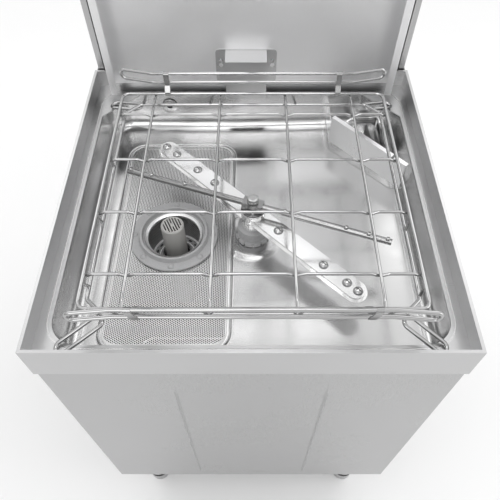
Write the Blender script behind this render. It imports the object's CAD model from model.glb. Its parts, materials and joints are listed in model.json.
"""Looks of a hood-type pass-through dishwasher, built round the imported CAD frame."""

import json
import math

import bmesh
import bpy
from mathutils import Matrix, Vector


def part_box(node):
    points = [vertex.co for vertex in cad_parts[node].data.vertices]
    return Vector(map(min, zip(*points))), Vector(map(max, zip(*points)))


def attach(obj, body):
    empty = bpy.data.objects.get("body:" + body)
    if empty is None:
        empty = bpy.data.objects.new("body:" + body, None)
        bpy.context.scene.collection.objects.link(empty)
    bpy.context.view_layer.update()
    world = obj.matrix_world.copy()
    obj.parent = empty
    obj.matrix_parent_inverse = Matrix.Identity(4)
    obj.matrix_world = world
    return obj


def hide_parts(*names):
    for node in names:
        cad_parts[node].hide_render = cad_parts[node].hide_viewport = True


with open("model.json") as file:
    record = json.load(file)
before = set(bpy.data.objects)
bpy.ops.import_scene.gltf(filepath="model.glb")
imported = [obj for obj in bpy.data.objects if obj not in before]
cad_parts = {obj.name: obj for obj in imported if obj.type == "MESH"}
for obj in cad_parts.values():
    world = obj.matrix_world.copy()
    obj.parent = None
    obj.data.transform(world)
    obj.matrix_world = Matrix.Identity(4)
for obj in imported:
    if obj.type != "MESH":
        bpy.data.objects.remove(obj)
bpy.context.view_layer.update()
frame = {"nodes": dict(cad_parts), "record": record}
nodes = frame["nodes"]

MM = 0.001
RIGHT, BACK, UP = Vector((1, 0, 0)), Vector((0, 1, 0)), Vector((0, 0, 1))
# The origin of all sizes below: the middle of the collar's top front edge
collar_low, collar_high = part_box("tank_collar")
RIM = Vector((0, collar_low.y, collar_high.z))


def at(x, y, z):
    """A point in the CAD frame from millimetres to the right, back and up of the collar's front edge."""
    return RIM + Vector((x, y, z)) * MM


# ---------- materials ----------
def new_material(name, color, metallic, roughness, **sockets):
    """A material whose constants sit on the shader; returns it with its node tree and shader."""
    mat = bpy.data.materials.new(name)
    mat.use_nodes = True
    shader = mat.node_tree.nodes["Principled BSDF"]
    shader.inputs["Base Color"].default_value = (*color, 1)
    shader.inputs["Metallic"].default_value = metallic
    shader.inputs["Roughness"].default_value = roughness
    for key, value in sockets.items():
        shader.inputs[key.replace("_", " ")].default_value = value
    return mat, mat.node_tree, shader


def noise(tree, scale, detail=3.0, stretch=(1, 1, 1)):
    """Noise in object space, drawn out along an axis by stretch; returns its value socket."""
    coords = tree.nodes.new("ShaderNodeTexCoord")
    mapping = tree.nodes.new("ShaderNodeMapping")
    mapping.inputs["Scale"].default_value = stretch
    tree.links.new(coords.outputs["Object"], mapping.inputs["Vector"])
    tex = tree.nodes.new("ShaderNodeTexNoise")
    tex.inputs["Scale"].default_value = scale
    tex.inputs["Detail"].default_value = detail
    tree.links.new(mapping.outputs["Vector"], tex.inputs["Vector"])
    return tex.outputs["Fac"]


def spread(tree, value, low, high, start=0.3, end=0.7):
    """Maps a noise value onto low..high."""
    node = tree.nodes.new("ShaderNodeMapRange")
    node.inputs["From Min"].default_value = start
    node.inputs["From Max"].default_value = end
    node.inputs["To Min"].default_value = low
    node.inputs["To Max"].default_value = high
    tree.links.new(value, node.inputs["Value"])
    return node.outputs["Result"]


def tint(tree, value, dark, light):
    """Colour between dark and light, by a value."""
    mix = tree.nodes.new("ShaderNodeMix")
    mix.data_type = "RGBA"
    mix.inputs["A"].default_value = (*dark, 1)
    mix.inputs["B"].default_value = (*light, 1)
    tree.links.new(value, mix.inputs["Factor"])
    return mix.outputs["Result"]


def bump(tree, shader, height, strength, distance):
    node = tree.nodes.new("ShaderNodeBump")
    node.inputs["Strength"].default_value = strength
    node.inputs["Distance"].default_value = distance
    tree.links.new(height, node.inputs["Height"])
    tree.links.new(node.outputs["Normal"], shader.inputs["Normal"])


def brushed(name, tone, roughness, grain, stretch):
    """Sheet steel with a fine grain along one axis, faint blotches and smears."""
    mat, tree, shader = new_material(name, (tone, tone, tone * 1.01), 1.0, roughness)
    lines = noise(tree, 60, 4, stretch)
    smear = noise(tree, 5, 5)
    blend = tree.nodes.new("ShaderNodeMath")
    blend.operation = "MULTIPLY_ADD"
    blend.inputs[1].default_value = 0.6
    tree.links.new(lines, blend.inputs[0])
    tree.links.new(spread(tree, smear, 0, 0.4), blend.inputs[2])
    tree.links.new(spread(tree, blend.outputs[0], roughness - grain, roughness + grain, 0.2, 0.8),
                   shader.inputs["Roughness"])
    low, high = tone * 0.93, min(1, tone * 1.04)
    tree.links.new(tint(tree, blend.outputs[0], (low, low, low), (high, high, high * 1.01)),
                   shader.inputs["Base Color"])
    bump(tree, shader, lines, 0.12, 0.0002)
    return mat


def polished(name, tone, roughness, wobble=0.08, wear=0.15):
    """Bright steel whose surface is never quite flat: soft waves and small handling marks."""
    mat, tree, shader = new_material(name, (tone, tone, tone), 1.0, roughness)
    marks = noise(tree, 35, 6)
    tree.links.new(spread(tree, marks, roughness * (1 - wear), roughness * (1 + wear)),
                   shader.inputs["Roughness"])
    low = tone * 0.96
    tree.links.new(tint(tree, marks, (low, low, low), (tone, tone, tone)), shader.inputs["Base Color"])
    bump(tree, shader, noise(tree, 9, 2), wobble, 0.002)
    return mat


def plastic(name, color, roughness, grain=500):
    """Moulded plastic with a fine grain and slightly uneven colour."""
    mat, tree, shader = new_material(name, color, 0.0, roughness)
    tone = noise(tree, 12, 4)
    dark = tuple(c * 0.88 for c in color)
    tree.links.new(tint(tree, tone, dark, color), shader.inputs["Base Color"])
    fine = noise(tree, grain, 2)
    tree.links.new(spread(tree, fine, roughness - 0.06, roughness + 0.06), shader.inputs["Roughness"])
    bump(tree, shader, fine, 0.1, 0.0001)
    return mat


def rubber_hose(name, color):
    """Matt rubber with a cloth pattern pressed into it and dust in the hollows."""
    mat, tree, shader = new_material(name, color, 0.0, 0.7)
    tone = noise(tree, 40, 5)
    tree.links.new(tint(tree, tone, color, tuple(c * 2.2 for c in color)), shader.inputs["Base Color"])
    wave = tree.nodes.new("ShaderNodeTexWave")
    wave.inputs["Scale"].default_value = 160
    wave.inputs["Distortion"].default_value = 1
    bump(tree, shader, wave.outputs["Fac"], 0.2, 0.0003)
    return mat


PERFORATED = polished("steel_punched", 0.95, 0.36, 0.02)
BASKET = polished("steel_mesh", 0.45, 0.4, 0.02)
SUMP = polished("steel_sump", 0.1, 0.5, 0.02)
STEEL_UP = brushed("steel_grain_up", 0.47, 0.30, 0.07, (60, 60, 1))
COLLAR = brushed("steel_collar", 0.55, 0.32, 0.06, (1, 60, 60))
PANEL = brushed("steel_panel", 0.93, 0.5, 0.05, (60, 60, 1))
SATIN = brushed("steel_satin", 0.92, 0.3, 0.05, (60, 60, 1))
ARM = polished("steel_arm", 0.9, 0.16, 0.01, 0.3)
TANK = polished("steel_tank", 0.63, 0.22, 0.02)
WIRE = polished("steel_wire", 0.5, 0.08, 0.02, 0.3)
ROD = polished("steel_rod", 0.36, 0.16, 0.02)
HOOK = polished("steel_hook", 0.42, 0.25, 0.02)
GREY = plastic("plastic_grey", (0.43, 0.43, 0.435), 0.3)
PALE = plastic("plastic_pale", (0.46, 0.455, 0.44), 0.38)
DARK = plastic("plastic_dark", (0.035, 0.035, 0.038), 0.45)
BUTTON = plastic("plastic_button", (0.5, 0.51, 0.52), 0.3)
MOTOR = plastic("paint_motor", (0.16, 0.18, 0.2), 0.4, 120)
FRAME_PAINT = plastic("paint_dark", (0.05, 0.05, 0.055), 0.5, 200)
HOSE = rubber_hose("rubber_hose", (0.02, 0.02, 0.02))

LOOKS = {
    "cabinet_steel": STEEL_UP,
    "tank_steel": TANK,
    "wire_steel": WIRE,
    "grey_plastic": GREY,
    "pale_plastic": PALE,
    "dark_plastic": DARK,
    "button_plastic": BUTTON,
    "dark_paint": FRAME_PAINT,
    "motor_paint": MOTOR,
    "hose_rubber": HOSE,
}
LOOK_OF_NODE = {
    "splash_panel": PANEL,
    "vent_chute": COLLAR,
    "lower_rinse_arm": ROD,
    "upper_rinse_arm": ROD,
    "tank_collar": COLLAR,
    "tank_sump": SUMP,
    "lower_wash_arm": ARM,
    "upper_wash_arm": ARM,
    "corner_guard": SATIN,
}
SLOT_OF = {row["node"]: row["material_slot"] for row in frame["record"]["subparts"]}


def paint(obj, mat):
    obj.data.materials.clear()
    obj.data.materials.append(mat)


def smooth_by_angle(mesh, degrees):
    """Smooth faces, with a crease wherever two of them meet at more than this angle."""
    mesh.shade_smooth()
    bm = bmesh.new()
    bm.from_mesh(mesh)
    for edge in bm.edges:
        edge.smooth = len(edge.link_faces) == 2 and edge.calc_face_angle(0) < math.radians(degrees)
    bm.to_mesh(mesh)
    bm.free()


for name, node in nodes.items():
    paint(node, LOOK_OF_NODE.get(name) or LOOKS[SLOT_OF[name]])


# ---------- mesh helpers ----------
def span(node):
    """Lowest and highest corner of a CAD node, in millimetres from the collar's front edge."""
    low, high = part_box(node)
    return (low - RIM) / MM, (high - RIM) / MM


def place_piece(name, mesh, mat, body, stands_for):
    """Puts a mesh in the scene as a piece that rides on a body, in place of the nodes it stands for."""
    obj = bpy.data.objects.new(name, mesh)
    bpy.context.scene.collection.objects.link(obj)
    paint(obj, mat)
    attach(obj, body)
    if stands_for:
        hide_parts(*stands_for)
    return obj


def new_piece(name, bm, mat, body, stands_for=(), crease=35):
    """A smooth piece from a bmesh, whose points are already in the CAD frame."""
    mesh = bpy.data.meshes.new(name)
    bm.to_mesh(mesh)
    bm.free()
    smooth_by_angle(mesh, crease)
    return place_piece(name, mesh, mat, body, stands_for)


def mesh_piece(name, verts, faces, mat, body, stands_for=()):
    """A flat-shaded piece from plain lists of points and faces."""
    mesh = bpy.data.meshes.new(name)
    mesh.from_pydata(verts, [], faces)
    mesh.validate()
    return place_piece(name, mesh, mat, body, stands_for)


def bridge(bm, a, b, closed=True):
    """Quads between two rows of vertices."""
    count = len(a)
    for i in range(count if closed else count - 1):
        j = (i + 1) % count
        bm.faces.new((a[i], a[j], b[j], b[i]))


def bent(points, radius, closed=False, steps=6):
    """Corner points joined by straight runs and round bends."""
    path = []
    for i, p in enumerate(points):
        if not closed and i in (0, len(points) - 1):
            path.append(p)
            continue
        to_last, to_next = points[i - 1] - p, points[(i + 1) % len(points)] - p
        turn = math.pi - to_last.angle(to_next)
        cut = min(radius * math.tan(turn / 2), 0.48 * to_last.length, 0.48 * to_next.length)
        a, b = p + to_last.normalized() * cut, p + to_next.normalized() * cut
        for k in range(steps + 1):
            t = k / steps
            path.append((1 - t) ** 2 * a + 2 * t * (1 - t) * p + t * t * b)
    return path


def direction(path, i, closed):
    """Which way a path runs at one of its points."""
    last = path[i - 1] if closed or i > 0 else path[i]
    following = path[(i + 1) % len(path)] if closed or i < len(path) - 1 else path[i]
    return (following - last).normalized()


def skin(bm, rings, closed):
    """Faces between the rings along a path, and caps on its ends if it is open."""
    count = len(rings)
    for i in range(count if closed else count - 1):
        bridge(bm, rings[i], rings[(i + 1) % count])
    if not closed:
        bm.faces.new(rings[0][::-1])
        bm.faces.new(rings[-1])


def sweep(bm, path, radius, up, closed=False, sides=12):
    """Round wire along a path; up is any direction that the path never points in."""
    turns = [2 * math.pi * k / sides for k in range(sides)]
    rings = []
    for i, p in enumerate(path):
        along = direction(path, i, closed)
        normal = (up - along * up.dot(along)).normalized()
        side = along.cross(normal)
        around = [math.cos(a) * normal + math.sin(a) * side for a in turns]
        rings.append([bm.verts.new(p + radius * out) for out in around])
    skin(bm, rings, closed)


def strap(bm, path, axis, along_axis, across, closed=False):
    """Flat strip along a path: one side of its section lies along axis, the other across the path."""
    half_u, half_v = along_axis / 2, across / 2
    section = [(-half_u, -half_v), (half_u, -half_v), (half_u, half_v), (-half_u, half_v)]
    rings = []
    for i, p in enumerate(path):
        side = direction(path, i, closed).cross(axis).normalized()
        rings.append([bm.verts.new(p + axis * u + side * v) for u, v in section])
    skin(bm, rings, closed)


def revolve(bm, profile, centre, segments=64, closed=False, radial=None):
    """Surface of revolution round a vertical axis; profile holds (radius, height) in millimetres."""
    rings = []
    for r, z in profile:
        ring = []
        for k in range(segments):
            a = 2 * math.pi * k / segments
            out = r + (radial(a) if radial else 0)
            ring.append(bm.verts.new(at(centre[0] + out * math.cos(a), centre[1] + out * math.sin(a), z)))
        rings.append(ring)
    for a, b in zip(rings, rings[1:]):
        bridge(bm, a, b)
    if closed:
        bridge(bm, rings[-1], rings[0])
    return rings


def rounded_loop(x0, x1, y0, y1, r, side=110, corner=12):
    """Points round a rectangle with round corners, always the same number, anticlockwise."""
    r = max(r, 0.5)
    centres = [(x1 - r, y1 - r), (x0 + r, y1 - r), (x0 + r, y0 + r), (x1 - r, y0 + r)]
    loop = []
    for i, (cx, cy) in enumerate(centres):
        turns = [math.radians(90 * (i + k / corner)) for k in range(corner + 1)]
        arc = [(cx + r * math.cos(a), cy + r * math.sin(a)) for a in turns]
        nx, ny = centres[(i + 1) % 4]
        start = math.radians(90 * (i + 1))
        end = (nx + r * math.cos(start), ny + r * math.sin(start))
        loop += arc
        for k in range(1, side):
            t = k / side
            loop.append((arc[-1][0] * (1 - t) + end[0] * t, arc[-1][1] * (1 - t) + end[1] * t))
    return loop


def ease(t):
    t = min(1, max(0, t))
    return t * t * (3 - 2 * t)


# ---------- tank ----------
hub_low, hub_high = span("arm_pedestal")
HUB = ((hub_low.x + hub_high.x) / 2, (hub_low.y + hub_high.y) / 2)
ring_low, ring_high = span("filter_ring")
FILTER = ((ring_low.x + ring_high.x) / 2, (ring_low.y + ring_high.y) / 2)
plate_low, plate_high = span("strainer_plate")
FLOOR_Z = plate_high.z
tank_low, tank_high = span("wash_tank")


def floor_height(x, y):
    """The pressed floor: it climbs to the right, with a plinth under the arms and a pad in a corner."""
    climb_from, climb = -28, 10
    plinth_r, plinth_rise, plinth_slope = 58, 3.5, 10
    pad_x, pad_y, pad_half_x, pad_half_y = 243, 556, 24, 40
    pad_rise, pad_slope, step_in, step_rise, step_slope = 11, 9, 10, 5, 6
    ramp = climb * max(0.0, (x - climb_from) / (tank_high.x - climb_from))
    from_hub = math.hypot(x - HUB[0], y - HUB[1])
    plinth = plinth_rise * ease((plinth_r - from_hub) / plinth_slope)
    dx, dy = abs(x - pad_x) - pad_half_x, abs(y - pad_y) - pad_half_y
    off = math.hypot(max(dx, 0), max(dy, 0))
    pad = pad_rise * ease(1 - off / pad_slope) + step_rise * ease(-(max(dx, dy) + step_in) / step_slope)
    return FLOOR_Z + ramp + plinth + pad


def tank_outline(inset):
    corner = 45.0
    return rounded_loop(tank_low.x + inset, tank_high.x - inset, tank_low.y + inset,
                        tank_high.y - inset, corner - inset)


def row_of(bm, loop, z):
    """Vertices along a loop, at one height."""
    return [bm.verts.new(at(x, y, z)) for x, y in loop]


def floor_row(bm, loop, rise=0.0):
    """Vertices along a loop, at a height above the tank floor."""
    return [bm.verts.new(at(x, y, floor_height(x, y) + rise)) for x, y in loop]


def tank_walls(bm, cove, wall_inset):
    """Rolled rim, upright walls and the cove down to the floor."""
    roll = 7.0
    ledge = tank_high.z + 2.2
    rim_edge = -9
    rows = [row_of(bm, tank_outline(rim_edge), ledge - 0.6)]
    for k in range(7):
        a = math.radians(15 * k)
        rows.append(row_of(bm, tank_outline(-roll + roll * math.sin(a) + 1.5),
                           ledge - roll + roll * math.cos(a)))
    for k in range(1, 4):
        rows.append(row_of(bm, tank_outline(1.5 + 0.8 * k), ledge - roll - k * 12))
    for k in range(11):
        a = math.radians(9 * k)
        rows.append(floor_row(bm, tank_outline(wall_inset + cove * (1 - math.cos(a))),
                              cove * (1 - math.sin(a))))
    return rows


def recess_edge(offset):
    """Outline of the strainer's recess, grown by an offset."""
    recess_r, beside, ahead = 34, 3, 2
    return rounded_loop(plate_low.x - beside - offset, plate_high.x + beside + offset,
                        plate_low.y - ahead - offset, plate_high.y + ahead + offset, recess_r + offset)


def tank_basin():
    """Deep-drawn tank: rolled rim, upright walls, cove and floor, with the strainer's recess."""
    cove, wall_inset = 22.0, 4
    drop, lip, seat = 3.0, 3.0, 11
    steps = 72
    bm = bmesh.new()
    rows = tank_walls(bm, cove, wall_inset)
    outer, inner = tank_outline(wall_inset + cove), recess_edge(lip)
    for k in range(1, steps + 1):
        t = k / steps
        row = [((1 - t) * a[0] + t * b[0], (1 - t) * a[1] + t * b[1]) for a, b in zip(outer, inner)]
        rows.append(floor_row(bm, row))
    for k in range(1, 5):
        a = math.radians(90 * k / 4)
        rows.append(row_of(bm, recess_edge(lip - lip * math.sin(a)), FLOOR_Z - drop / 2 * (1 - math.cos(a))))
    bottom = FLOOR_Z - drop
    rows.append(row_of(bm, recess_edge(-0.4), bottom))
    for offset in (-2, -seat):
        rows.append(row_of(bm, recess_edge(offset), bottom - 0.6))
    for a, b in zip(rows, rows[1:]):
        bridge(bm, a, b)
    basin = new_piece("tank_basin", bm, TANK, "cabinet", ["wash_tank"], 60)
    thick = basin.modifiers.new("sheet", "SOLIDIFY")
    thick.thickness = 1.2 * MM
    thick.offset = -1


def hole_cell(verts, faces, centre, corners, hole, place, sides=12):
    """One cell of punched sheet: a hexagon whose middle is a round hole."""
    first = len(verts)
    for k in range(sides):
        a = 2 * math.pi * k / sides
        edge = corners * (1 if k % 2 else math.cos(math.pi / 6))
        verts.append(place(centre[0] + edge * math.cos(a), centre[1] + edge * math.sin(a)))
    for k in range(sides):
        a = 2 * math.pi * k / sides
        verts.append(place(centre[0] + hole * math.cos(a), centre[1] + hole * math.sin(a)))
    for k in range(sides):
        j = (k + 1) % sides
        faces.append((first + k, first + j, first + sides + j, first + sides + k))


def in_rounded(x, y, x0, x1, y0, y1, r):
    dx = max(x0 + r - x, x - (x1 - r), 0)
    dy = max(y0 + r - y, y - (y1 - r), 0)
    return x0 <= x <= x1 and y0 <= y <= y1 and math.hypot(dx, dy) <= r


def strainer():
    """Punched sheet with staggered round holes inside a pressed rim, open where the ring sits."""
    pitch = 3.5
    hole = 1.38
    ring_room = 74
    top = FLOOR_Z - 1.0
    side, front = 4.0, 11.0
    plate_r, slack = 31, 0.5
    x0, x1, y0, y1 = plate_low.x, plate_high.x, plate_low.y, plate_high.y
    hx0, hx1, hy0, hy1 = x0 + side, x1 - side, y0 + front, y1 - side
    step = pitch * math.sqrt(3) / 2
    verts, faces = [], []
    for i in range(int((hx1 - hx0) / step) + 1):
        x = hx0 + i * step
        for j in range(int((hy1 - hy0) / pitch) + 1):
            y = hy0 + (j + 0.5 * (i % 2)) * pitch
            inside = in_rounded(x, y, hx0 - slack, hx1 + slack, hy0 - slack, hy1 + slack, plate_r - 1)
            if inside and math.hypot(x - FILTER[0], y - FILTER[1]) > ring_room:
                hole_cell(verts, faces, (y, x), pitch / math.sqrt(3), hole, lambda v, u: at(u, v, top))
    mesh_piece("strainer_sheet", verts, faces, PERFORATED, "cabinet", ["strainer_plate"])
    bm = bmesh.new()
    rim = [(0.2, -1.8), (0, -0.8), (0.5, 0.2), (1.6, 0.7), (2.6, 0.5), (3.4, 0.15)]
    rows = []
    for inset, rise in rim:
        rows.append(rounded_loop(x0 + inset, x1 - inset, y0 + inset, y1 - inset, plate_r - inset, 20, 16))
    rows.append(rounded_loop(hx0 + 0.3, hx1 - 0.3, hy0 + 0.3, hy1 - 0.3, plate_r - 2, 20, 16))
    heights = [rise for _, rise in rim] + [0.12]
    rings = [row_of(bm, row, top + h) for row, h in zip(rows, heights)]
    for a, b in zip(rings, rings[1:]):
        bridge(bm, a, b)
    new_piece("strainer_rim", bm, TANK, "cabinet", crease=60)


def basket_wall(verts, faces, wall_r, low_z):
    """Punched wall, rolled from a sheet of hexagonal cells."""
    pitch, hole = 3.2, 0.85
    columns = int(2 * math.pi * wall_r / pitch)
    wide = 2 * math.pi * wall_r / columns
    row_step = wide * math.sqrt(3) / 2

    def on_wall(u, v):
        a = u / wall_r
        return at(FILTER[0] + wall_r * math.cos(a), FILTER[1] + wall_r * math.sin(a), v)

    for j in range(int((FLOOR_Z - 3 - low_z) / row_step)):
        z = low_z + 3 + j * row_step
        for i in range(columns):
            hole_cell(verts, faces, ((i + 0.5 * (j % 2)) * wide, z), wide / math.sqrt(3), hole, on_wall)


def basket_bottom(verts, faces, ring_in, ring_out, z):
    """Flat ring with a row of oval holes."""
    count, sides = 16, 16
    long, short = 0.55, 0.42
    for i in range(count):
        a0, a1 = 2 * math.pi * i / count, 2 * math.pi * (i + 1) / count
        first = len(verts)
        for k in range(sides):
            t = 2 * math.pi * (k + 0.5) / sides
            u, v = math.cos(t), math.sin(t)
            m = max(abs(u), abs(v))
            for sx, sy in ((u / m, v / m), (long * u, short * v)):
                a = a0 + (a1 - a0) * (0.5 + 0.5 * sx)
                r = ring_in + (ring_out - ring_in) * (0.5 + 0.5 * sy)
                verts.append(at(FILTER[0] + r * math.cos(a), FILTER[1] + r * math.sin(a), z))
        for k in range(sides):
            j = (k + 1) % sides
            faces.append((first + 2 * k, first + 2 * j, first + 2 * j + 1, first + 2 * k + 1))


def basket():
    """Scrap basket: punched wall, and a bottom with a ring of oval holes round a cone."""
    z = span("filter_basket")[0].z
    wall_r, bore = 48.4, 25.5
    ring_in, ring_out = 35.5, 45.0
    verts, faces = [], []
    basket_wall(verts, faces, wall_r, z)
    basket_bottom(verts, faces, ring_in, ring_out, z + 1.5)
    mesh_piece("basket_mesh", verts, faces, BASKET, "basket", ["filter_basket"])
    bm = bmesh.new()
    rim = [(wall_r + 4.8, FLOOR_Z + 4.2), (wall_r + 4, FLOOR_Z + 3.2), (wall_r, FLOOR_Z + 0.8),
           (wall_r, FLOOR_Z - 4)]
    heel = [(wall_r, z + 4), (wall_r, z + 0.2), (wall_r - 0.9, z), (ring_out + 1.5, z + 2.4),
            (ring_out + 0.6, z + 2.8), (ring_out, z + 1.5)]
    cone = [(ring_in, z + 1.5), (34.8, z + 2.6), (34, z + 2.2), (32, z + 5.5), (29, z + 8),
            (bore + 1, z + 13.5), (bore, z + 14), (bore, z + 0.5)]
    for profile in (rim, heel, cone):
        revolve(bm, profile, FILTER, 96)
    new_piece("basket_frame", bm, PERFORATED, "basket", crease=50)


def level_port():
    """Round plate with a dark port in the tank's rear wall, left of the middle."""
    place = at(-172, tank_high.y - 6.5, -64)
    plate = [(4.5, 0), (5.5, 1.4), (14, 1.4), (15.5, 0.6), (16, -2)]
    core = [(0.1, -0.6), (3, -0.4), (4.6, 0.2), (4.6, -3)]
    face_front = Matrix.Rotation(math.radians(90), 3, "X")
    for name, profile, mat, slot in (("level_port_plate", plate, TANK, "tank_steel"),
                                     ("level_port_core", core, DARK, "dark_plastic")):
        bm = bmesh.new()
        revolve(bm, profile, (0, 0), 48)
        bmesh.ops.translate(bm, vec=-at(0, 0, 0), verts=bm.verts)
        bmesh.ops.rotate(bm, cent=(0, 0, 0), matrix=face_front, verts=bm.verts)
        bmesh.ops.translate(bm, vec=place, verts=bm.verts)
        new_piece(name, bm, mat, "cabinet")


# ---------- wires ----------
def rack_edges(bm, x0, x1, y0, y1, top, under, r):
    """The frame's two closed edge wires; the lower one is a little smaller, with cut corners."""
    upper = [at(x0, y0, top), at(x1, y0, top), at(x1, y1, top), at(x0, y1, top)]
    sweep(bm, bent(upper, 16 * MM, True), r * MM, UP, True, 14)
    inset, cut = 4, 26
    ux0, ux1, uy0, uy1 = x0 + inset, x1 - inset, y0 + inset, y1 - inset
    lower = [(ux0 + cut, uy0), (ux1 - cut, uy0), (ux1, uy0 + cut), (ux1, uy1 - cut),
             (ux1 - cut, uy1), (ux0 + cut, uy1), (ux0, uy1 - cut), (ux0, uy0 + cut)]
    sweep(bm, bent([at(x, y, under) for x, y in lower], 9 * MM, True), r * MM, UP, True, 14)


def rack_grid(bm, x0, x1, y0, y1, top, weld, r):
    """Wires from front to back, and cross wires that dip where they pass under them."""
    count = 4
    bend = 9 * MM
    xs = [x0 + (x1 - x0) * (2 * i + 1) / (2 * count) for i in range(count)]
    ys = [y0 + (y1 - y0) * (2 * i + 1) / (2 * count) for i in range(count)]
    for x in xs:
        points = [at(x, y0, weld), at(x, y0 + 4, weld), at(x, y0 + 14, top), at(x, y1 - 14, top),
                  at(x, y1 - 4, weld), at(x, y1, weld)]
        sweep(bm, bent(points, bend), r * MM, RIGHT)
    high, dip = top - 0.5, top - 2 * r + 0.3
    for y in ys:
        points = [at(x0, y, weld), at(x0 + 4, y, weld), at(x0 + 12, y, high)]
        for x in xs:
            points += [at(x - 13, y, high), at(x - 4, y, dip), at(x + 4, y, dip), at(x + 13, y, high)]
        points += [at(x1 - 12, y, high), at(x1 - 4, y, weld), at(x1, y, weld)]
        sweep(bm, bent(points, bend, steps=4), r * MM, BACK)


def rack_struts(bm, x0, x1, y0, y1, top, under, r):
    """Short leaning wires that join the frame's two edge wires."""
    lean_by, inset = 9, 4
    cx, cy = (x0 + x1) / 2, (y0 + y1) / 2
    half_x, half_y = (x1 - x0) / 2, (y1 - y0) / 2
    for f in (-0.82, -0.3, 0.3, 0.82):
        for s in (-1, 1):
            lean = lean_by if f * s > 0 else -lean_by
            x, y = cx + s * half_x, cy + f * half_y
            sweep(bm, [at(x, y, top), at(x - inset * s, y + lean, under)], r * MM, RIGHT)
            x, y = cx + f * half_x, cy + s * half_y
            sweep(bm, [at(x, y, top), at(x + lean, y - inset * s, under)], r * MM, BACK)


def rack():
    """Welded wire frame of the rack support."""
    low, high = span("rack_frame")
    edge_r, grid_r = 3.0, 2.5
    sides = (low.x + edge_r, high.x - edge_r, low.y + edge_r, high.y - edge_r)
    top, under = high.z - edge_r, low.z + edge_r
    weld = top - edge_r - grid_r + 0.6
    bm = bmesh.new()
    rack_edges(bm, *sides, top, under, edge_r)
    rack_grid(bm, *sides, top, weld, grid_r)
    rack_struts(bm, *sides, top, under, grid_r)
    new_piece("rack_wires", bm, WIRE, "rack_support", ["rack_frame", "grid_wires"], 70)


def clips():
    """Bent flat hooks that hold the rails on the frame's edge; the front ones lean outwards."""
    low, high = span("rail_clips")
    rail_low, rail_high = span("front_rail")
    back_y = span("rear_rail")[0].y
    frame_low, frame_high = span("rack_frame")
    wire_r, gap, lean = 3.0, 1.2, 4
    wide, thick = 10, 1.6
    room = wire_r + gap
    top = frame_high.z - wire_r
    up, down = rail_high.z - wire_r, rail_low.z + wire_r
    cx, half = (low.x + high.x) / 2, (high.x - low.x - wide) / 2
    ry, fy = rail_high.y - wire_r, frame_low.y + wire_r
    by, gy = back_y + wire_r, frame_high.y - wire_r
    front = [(fy + 2, top - room, 0), (fy + room, top, 0), (fy, top + room, 0), (fy - 12, top + 9, 0),
             (ry + room, down - 3, 1 - lean), (ry, down - room, -lean), (ry - room, down, -lean),
             (ry - room, up, lean), (ry, up + room, lean), (ry + room, up, lean)]
    rear = [(by + room, up, 0), (by, up + room, 0), (by - room, up, 0), (by - room, down - 4, 0),
            (gy - room, top + 4, 0), (gy - room, top - 1, 0), (gy, top - room, 0), (gy + room, top, 0)]
    bm = bmesh.new()
    for s in (-1, 1):
        for points in (front, rear):
            path = bent([at(cx + s * (half + out), y, z) for y, z, out in points], 5 * MM)
            strap(bm, path, RIGHT, wide * MM, thick * MM)
    new_piece("rail_hooks", bm, HOOK, "rack_support", ["rail_clips"], 40)


# ---------- arms ----------
def arm_seam(name, node, height, body, angle):
    """Flange where the arm's two pressed halves meet, all round its outline."""
    low, high = span(node)
    width, proud, seam_t = 34.0, 2.4, 1.4
    steps = 16
    reach = math.hypot(high.x - low.x - width, high.y - low.y - width) / 2
    turn = math.radians(angle)
    r = width / 2 + proud / 2
    outline = []
    for s in (0, 1):
        for k in range(steps + 1):
            a = math.pi * (s + k / steps) - math.pi / 2
            outline.append(((-reach if s else reach) + r * math.cos(a), r * math.sin(a)))
    path = [at(HUB[0] + x * math.cos(turn) - y * math.sin(turn),
               HUB[1] + x * math.sin(turn) + y * math.cos(turn), height) for x, y in outline]
    bm = bmesh.new()
    strap(bm, path, UP, seam_t * MM, (proud + 1) * MM, True)
    new_piece(name, bm, ARM, body, crease=40)


def knurl(a):
    """How far the knob's edge stands out at an angle."""
    ridges, depth = 36, 0.32
    return depth * math.cos(ridges * a)


def knurled_knob(name, node, body):
    """Knurled thumb nut with rounded shoulders and a flat face."""
    low, high = span(node)
    z0, z1, r = low.z, high.z, 9.6
    profile = [(r - 1.5, z0), (r - 0.3, z0 + 0.8), (r, z0 + 2), (r, z1 - 2.6), (r - 0.9, z1 - 1),
               (r - 2.6, z1 - 0.2), (r - 5, z1)]
    bm = bmesh.new()
    rows = revolve(bm, profile, HUB, 144, radial=knurl)
    bm.faces.new(rows[0][::-1])
    bm.faces.new(rows[-1])
    new_piece(name, bm, WIRE, body, [node], 40)


def ring_piece(name, rings, z, mat, body):
    """Concentric round rings, each (mean radius, half thickness), lying round the hub."""
    turns = [2 * math.pi * k / 12 for k in range(12)]
    bm = bmesh.new()
    for r, t in rings:
        circle = [(r + t * math.cos(a), z + t * math.sin(a)) for a in turns]
        revolve(bm, circle, HUB, 72, True)
    new_piece(name, bm, mat, body, crease=60)


def hub_seals(side, top, face):
    """Labyrinth of steel and rubber rings in an arm's hub; face is 1 where it looks up."""
    body = side + "_wash"
    rubber = [(12.6, top - face * 0.2), (14, top + face * 0.5), (18.6, top + face * 0.3),
              (19.6, top - face * 0.8)]
    steel = [(20.3, 1.3), (16.2, 0.6), (12.9, 0.5)]
    bm = bmesh.new()
    revolve(bm, rubber, HUB, 72)
    new_piece(side + "_hub_rubber", bm, DARK, body, crease=60)
    ring_piece(side + "_hub_rings", steel, top + face * 0.6, WIRE, body)


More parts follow.
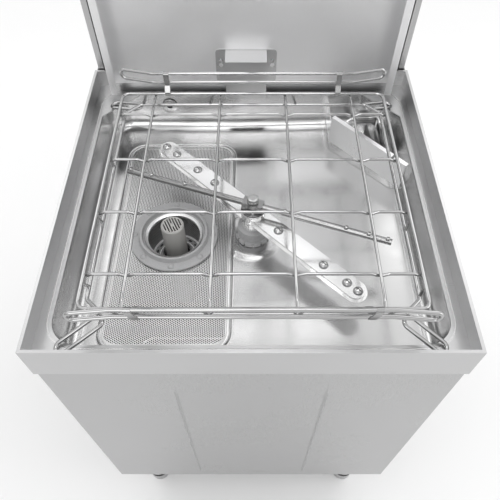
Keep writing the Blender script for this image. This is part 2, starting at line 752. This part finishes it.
# ---------- light, floor and camera ----------
def area_light(name, place, target, size, watts):
    data = bpy.data.lights.new(name, "AREA")
    data.shape = "RECTANGLE"
    data.size, data.size_y = size
    data.energy = watts
    light = bpy.data.objects.new(name, data)
    light.location = place
    light.rotation_euler = (Vector(target) - Vector(place)).to_track_quat("-Z", "Y").to_euler()
    bpy.context.scene.collection.objects.link(light)


def pale_floor():
    bpy.ops.mesh.primitive_plane_add(size=14)
    floor = bpy.context.object
    floor.name = "studio_floor"
    mat, tree, shader = new_material("studio_floor", (0.88, 0.88, 0.88), 0.0, 0.7)
    grain = noise(tree, 3, 4)
    tree.links.new(tint(tree, grain, (0.87, 0.87, 0.87), (0.89, 0.89, 0.89)), shader.inputs["Base Color"])
    paint(floor, mat)


def soft_sky(world):
    """Even light that is dimmer near the horizon, so that round steel shows darker bands."""
    tree = world.node_tree
    coords = tree.nodes.new("ShaderNodeTexCoord")
    split = tree.nodes.new("ShaderNodeSeparateXYZ")
    ramp = tree.nodes.new("ShaderNodeValToRGB")
    stops = ((0.0, 0.55), (0.5, 0.55), (0.6, 0.6), (0.75, 1.05), (1.0, 1.05))
    for place, tone in stops[1:-1]:
        ramp.color_ramp.elements.new(place)
    for element, (place, tone) in zip(ramp.color_ramp.elements, stops):
        element.position = place
        element.color = (tone, tone, tone, 1)
    half = tree.nodes.new("ShaderNodeMapRange")
    half.inputs["From Min"].default_value = -1
    tree.links.new(coords.outputs["Generated"], split.inputs[0])
    tree.links.new(split.outputs["Z"], half.inputs["Value"])
    tree.links.new(half.outputs["Result"], ramp.inputs["Fac"])
    tree.links.new(ramp.outputs["Color"], tree.nodes["Background"].inputs["Color"])


def studio():
    world = bpy.data.worlds.new("studio")
    world.use_nodes = True
    world.node_tree.nodes["Background"].inputs["Strength"].default_value = 1.0
    soft_sky(world)
    bpy.context.scene.world = world
    bpy.context.scene.view_settings.view_transform = "Standard"
    area_light("front_light", (-0.9, -2.6, 2.6), (0, -0.1, 0.8), (1.6, 1.6), 12)
    area_light("right_light", (2.6, -0.6, 1.6), (0, 0, 0.9), (1.4, 1.6), 12)
    area_light("back_left_light", (-1.7, 1.5, 2.5), (-0.3, 0, 0.85), (1.6, 1.6), 9)
    area_light("back_right_light", (1.7, 1.5, 2.5), (0.3, 0, 0.85), (1.6, 1.6), 9)
    area_light("panel_light", (0, -0.28, 1.29), (0, 0.24, 1.0), (0.5, 0.12), 0.7)
    area_light("tank_light", (0, 0.0, 1.6), (0, -0.06, 0.8), (0.54, 0.5), 0.7)
    area_light("hood_light", (0, -0.06, 1.3), (0, -0.06, 1.8), (0.54, 0.5), 4.0)


def camera():
    data = bpy.data.cameras.new("camera")
    data.lens = 37.29
    data.shift_x = -0.0024
    data.shift_y = 0.05
    cam = bpy.data.objects.new("camera", data)
    cam.location = at(0, -308.5, 640)
    cam.rotation_euler = (math.radians(34.31), 0, 0)
    bpy.context.scene.collection.objects.link(cam)
    bpy.context.scene.camera = cam


tank_basin()
strainer()
basket()
level_port()
rack()
clips()
knurled_knob("lower_knob", "lower_thumb_nut", "cabinet")
knurled_knob("upper_knob", "upper_thumb_nut", "cabinet")
arm_seam("lower_arm_seam", "lower_wash_arm", -56, "lower_wash", 135)
arm_seam("upper_arm_seam", "upper_wash_arm", 407, "upper_wash", 4)
hub_seals("lower", -43, 1)
hub_seals("upper", 394, -1)
pale_floor()
studio()
camera()
